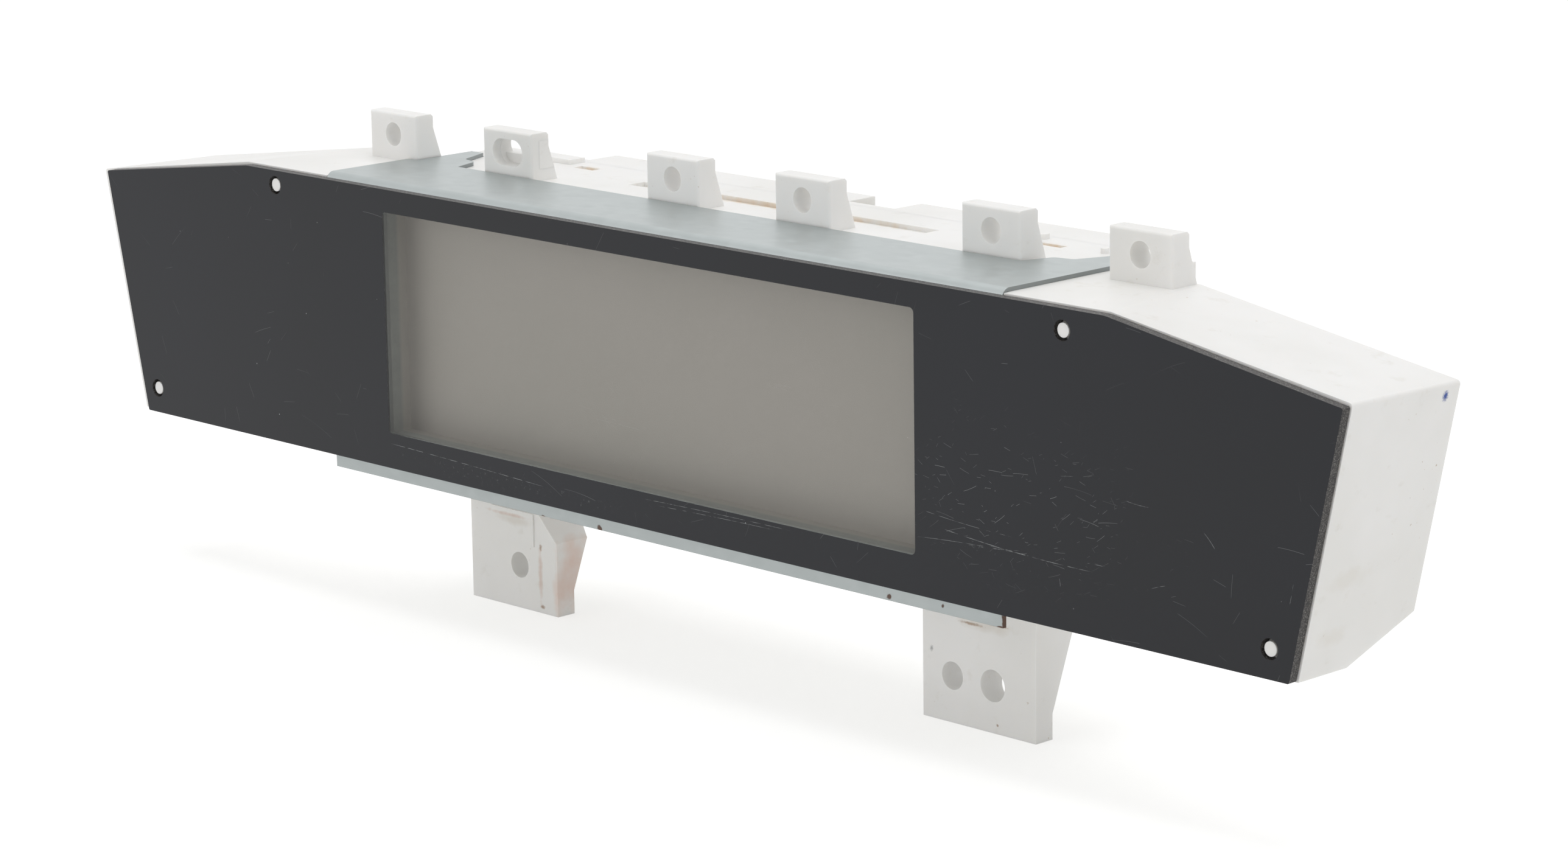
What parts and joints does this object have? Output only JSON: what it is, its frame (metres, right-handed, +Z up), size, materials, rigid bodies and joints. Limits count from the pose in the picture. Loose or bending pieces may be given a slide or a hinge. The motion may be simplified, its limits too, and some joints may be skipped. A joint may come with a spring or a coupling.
{
  "type": "car information display",
  "caption": "wide dashboard display with a smoked front panel and clear window, folded steel bracket and white housing with fixing lugs and tabs",
  "frame": {"origin": "centre of the viewing window on the front panel's front face", "axes": "+X to the right as the driver sees it, +Y back into the dashboard, +Z up"},
  "size_m": [0.3461, 0.0586, 0.1004],
  "materials": {
    "panel_acrylic": "worn smoked acrylic, sawn edges",
    "white_plastic": "white moulded ABS, lightly soiled",
    "zinc_steel": "galvanised sheet with spangle",
    "black_foam": "double-sided foam tape",
    "grey_plastic": "dark grey frame",
    "display_face": "unlit grey display face",
    "display_glass": "thin glass",
    "film": "white plastic film",
    "clear_acrylic": "clear acrylic",
    "silicone": "silicone contact strip",
    "lamp": "lamp block",
    "circuit_board": "green lacquered board",
    "nylon": "nylon spacer",
    "screw_steel": "zinc plated screw",
    "chip_plastic": "black moulded package",
    "can_metal": "metal can",
    "can_sleeve": "sleeved can",
    "ferrite": "ferrite core",
    "connector_plastic": "natural nylon socket",
    "pin_tin": "tin-plated pins"
  },
  "bodies": {
    "root": {"front_panel": "panel_acrylic", "housing": "white_plastic", "bracket": "zinc_steel", "panel_tapes": "black_foam", "window_gasket": "grey_plastic", "front_polariser": "display_face", "front_glass": "display_glass", "rear_glass": "display_glass", "rear_polariser": "film", "diffuser": "film", "light_guide": "clear_acrylic", "reflector": "film", "contact_strip": "silicone", "display_holder": "white_plastic", "backlight_lamps": "lamp", "display_board": "circuit_board", "main_board": "circuit_board", "board_spacers": "nylon", "display_board_screws": "screw_steel", "main_board_screws": "screw_steel", "driver_chips": "chip_plastic", "controller_chip": "chip_plastic", "crystal": "can_metal", "capacitors": "can_sleeve", "choke": "ferrite", "regulator": "chip_plastic", "board_link": "chip_plastic", "main_connector": "connector_plastic", "main_connector_pins": "pin_tin", "side_connector": "connector_plastic", "side_connector_pins": "pin_tin", "rear_cover": "white_plastic", "cover_screws": "screw_steel"}
  },
  "joints": []
}
